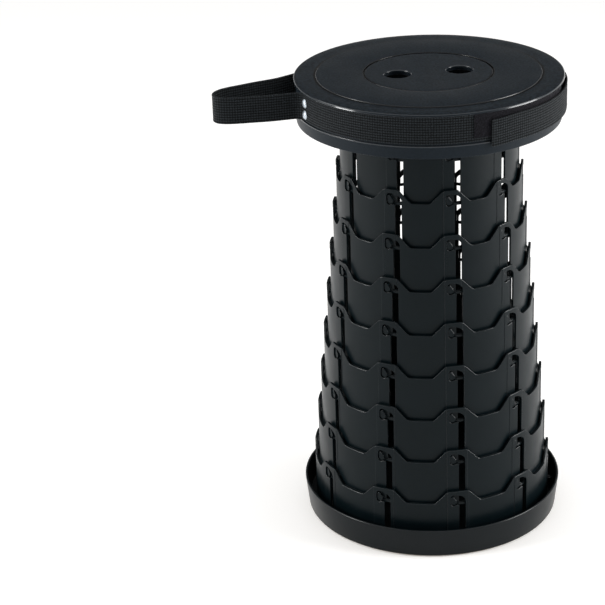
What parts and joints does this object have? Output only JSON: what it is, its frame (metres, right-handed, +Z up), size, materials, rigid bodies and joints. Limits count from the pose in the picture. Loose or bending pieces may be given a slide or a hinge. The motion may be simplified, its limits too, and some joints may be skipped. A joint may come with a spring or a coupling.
{
  "type": "collapsible telescopic stool",
  "caption": "Round folding stool: seat on nested scalloped rings that telescope up from a base tray, with a webbing carry strap and hand loop.",
  "frame": {"origin": "on the floor under the stool's axis, level with the undersides of the foot pads", "axes": "+Z up along the telescoping axis, -Y the front that faces the camera, +X to its right"},
  "size_m": [0.3322, 0.2562, 0.45],
  "materials": {
    "tray_plastic": "satin moulded, near black",
    "ring_plastic": "satin moulded, near black",
    "seat_plastic": "fine grained, near black",
    "rubber": "matt",
    "screw_steel": "plated",
    "webbing": "woven, black",
    "fuzzy_fastener": "brushed loops, black",
    "rivet_metal": "bright domed"
  },
  "bodies": {
    "base": {"base_tray": "tray_plastic", "foot_pads": "rubber", "base_screws": "screw_steel", "ring_9": "ring_plastic"},
    "stage_8": {"ring_8": "ring_plastic"},
    "stage_7": {"ring_7": "ring_plastic"},
    "stage_6": {"ring_6": "ring_plastic"},
    "stage_5": {"ring_5": "ring_plastic"},
    "stage_4": {"ring_4": "ring_plastic"},
    "stage_3": {"ring_3": "ring_plastic"},
    "stage_2": {"ring_2": "ring_plastic"},
    "stage_1": {"ring_1": "ring_plastic"},
    "seat": {"seat_shell": "seat_plastic", "seat_collar": "ring_plastic", "seat_screws": "screw_steel", "centre_lid": "seat_plastic", "strap_front_band": "webbing", "strap_rear_band": "webbing", "strap_loop": "webbing", "loop_patch": "fuzzy_fastener", "hook_patch": "fuzzy_fastener", "strap_rivets": "rivet_metal", "rivet_washers": "rivet_metal"}
  },
  "joints": [
    {"name": "stage_8_slide", "type": "slide", "parent": "base", "child": "stage_8", "axis": [0, 0, 1], "range_m": [-0.0425, 0]},
    {"name": "stage_7_slide", "type": "slide", "parent": "stage_8", "child": "stage_7", "axis": [0, 0, 1], "range_m": [-0.0425, 0]},
    {"name": "stage_6_slide", "type": "slide", "parent": "stage_7", "child": "stage_6", "axis": [0, 0, 1], "range_m": [-0.0425, 0]},
    {"name": "stage_5_slide", "type": "slide", "parent": "stage_6", "child": "stage_5", "axis": [0, 0, 1], "range_m": [-0.0425, 0]},
    {"name": "stage_4_slide", "type": "slide", "parent": "stage_5", "child": "stage_4", "axis": [0, 0, 1], "range_m": [-0.0425, 0]},
    {"name": "stage_3_slide", "type": "slide", "parent": "stage_4", "child": "stage_3", "axis": [0, 0, 1], "range_m": [-0.0425, 0]},
    {"name": "stage_2_slide", "type": "slide", "parent": "stage_3", "child": "stage_2", "axis": [0, 0, 1], "range_m": [-0.0425, 0]},
    {"name": "stage_1_slide", "type": "slide", "parent": "stage_2", "child": "stage_1", "axis": [0, 0, 1], "range_m": [-0.0425, 0]},
    {"name": "seat_slide", "type": "slide", "parent": "stage_1", "child": "seat", "axis": [0, 0, 1], "range_m": [-0.0413, 0]}
  ]
}
